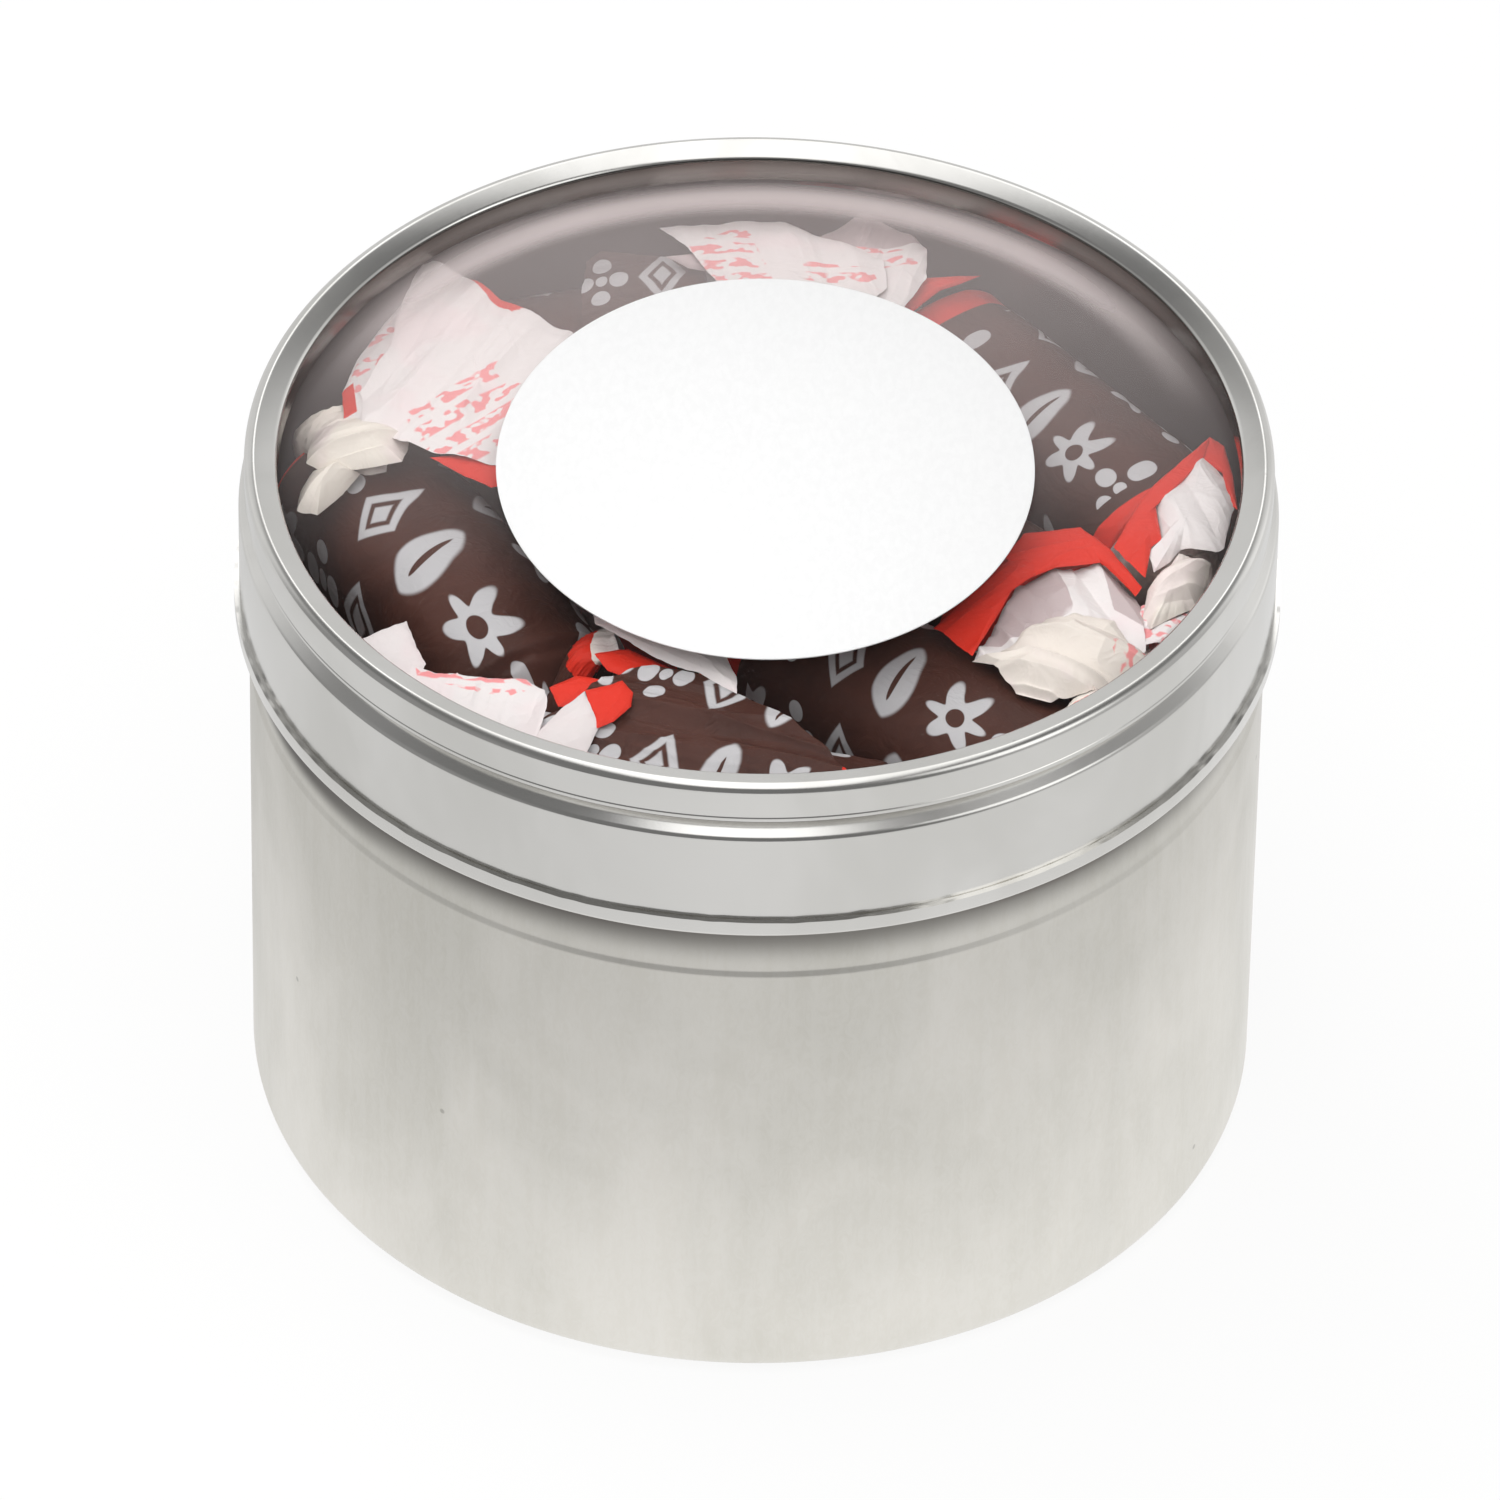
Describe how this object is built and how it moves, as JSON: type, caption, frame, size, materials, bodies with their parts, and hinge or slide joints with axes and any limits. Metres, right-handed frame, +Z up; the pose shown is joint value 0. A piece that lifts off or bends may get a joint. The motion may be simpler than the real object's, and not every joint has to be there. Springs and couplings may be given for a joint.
{
  "type": "window lid tin",
  "caption": "Round drawn tinplate tin with a lift-off stepped lid, a clear recessed window with a blank oval label, and layers of twist-wrapped candies inside.",
  "frame": {"origin": "centre of the base, on the surface that the tin stands on", "axes": "+Z up through the lid, +Y towards the back, +X to the right as pictured"},
  "size_m": [0.08, 0.08, 0.0592],
  "materials": {
    "tinplate_body": "satin drawn tinplate",
    "tinplate_lid": "satin drawn tinplate, brighter on rolled edges",
    "clear_window": "clear plastic sheet with a faint haze",
    "label_paper": "blank coated paper",
    "waxed_wrapper": "waxed printed paper, twisted and crumpled",
    "candy_roll": "chocolate toffee"
  },
  "bodies": {
    "tin": {"tin_body": "tinplate_body", "candy_wrapper_01": "waxed_wrapper", "candy_wrapper_02": "waxed_wrapper", "candy_wrapper_03": "waxed_wrapper", "candy_wrapper_04": "waxed_wrapper", "candy_wrapper_05": "waxed_wrapper", "candy_wrapper_06": "waxed_wrapper", "candy_wrapper_07": "waxed_wrapper", "candy_wrapper_08": "waxed_wrapper", "candy_wrapper_09": "waxed_wrapper", "candy_wrapper_10": "waxed_wrapper", "candy_wrapper_11": "waxed_wrapper", "candy_wrapper_12": "waxed_wrapper", "candy_wrapper_13": "waxed_wrapper", "candy_wrapper_14": "waxed_wrapper", "candy_wrapper_15": "waxed_wrapper", "candy_wrapper_16": "waxed_wrapper", "candy_wrapper_17": "waxed_wrapper", "candy_wrapper_18": "waxed_wrapper", "candy_wrapper_19": "waxed_wrapper", "candy_wrapper_20": "waxed_wrapper", "candy_wrapper_21": "waxed_wrapper", "candy_wrapper_22": "waxed_wrapper", "candy_wrapper_23": "waxed_wrapper", "candy_wrapper_24": "waxed_wrapper", "candy_roll_01": "candy_roll", "candy_roll_02": "candy_roll", "candy_roll_03": "candy_roll", "candy_roll_04": "candy_roll", "candy_roll_05": "candy_roll", "candy_roll_06": "candy_roll", "candy_roll_07": "candy_roll", "candy_roll_08": "candy_roll", "candy_roll_09": "candy_roll", "candy_roll_10": "candy_roll", "candy_roll_11": "candy_roll", "candy_roll_12": "candy_roll", "candy_roll_13": "candy_roll", "candy_roll_14": "candy_roll", "candy_roll_15": "candy_roll", "candy_roll_16": "candy_roll", "candy_roll_17": "candy_roll", "candy_roll_18": "candy_roll", "candy_roll_19": "candy_roll", "candy_roll_20": "candy_roll", "candy_roll_21": "candy_roll", "candy_roll_22": "candy_roll", "candy_roll_23": "candy_roll", "candy_roll_24": "candy_roll"},
    "lid": {"lid_ring": "tinplate_lid", "window_pane": "clear_window", "oval_label": "label_paper"}
  },
  "joints": [
    {"name": "lid_lift", "type": "slide", "parent": "tin", "child": "lid", "axis": [0, 0, 1], "range_m": [0, 0.045]}
  ]
}
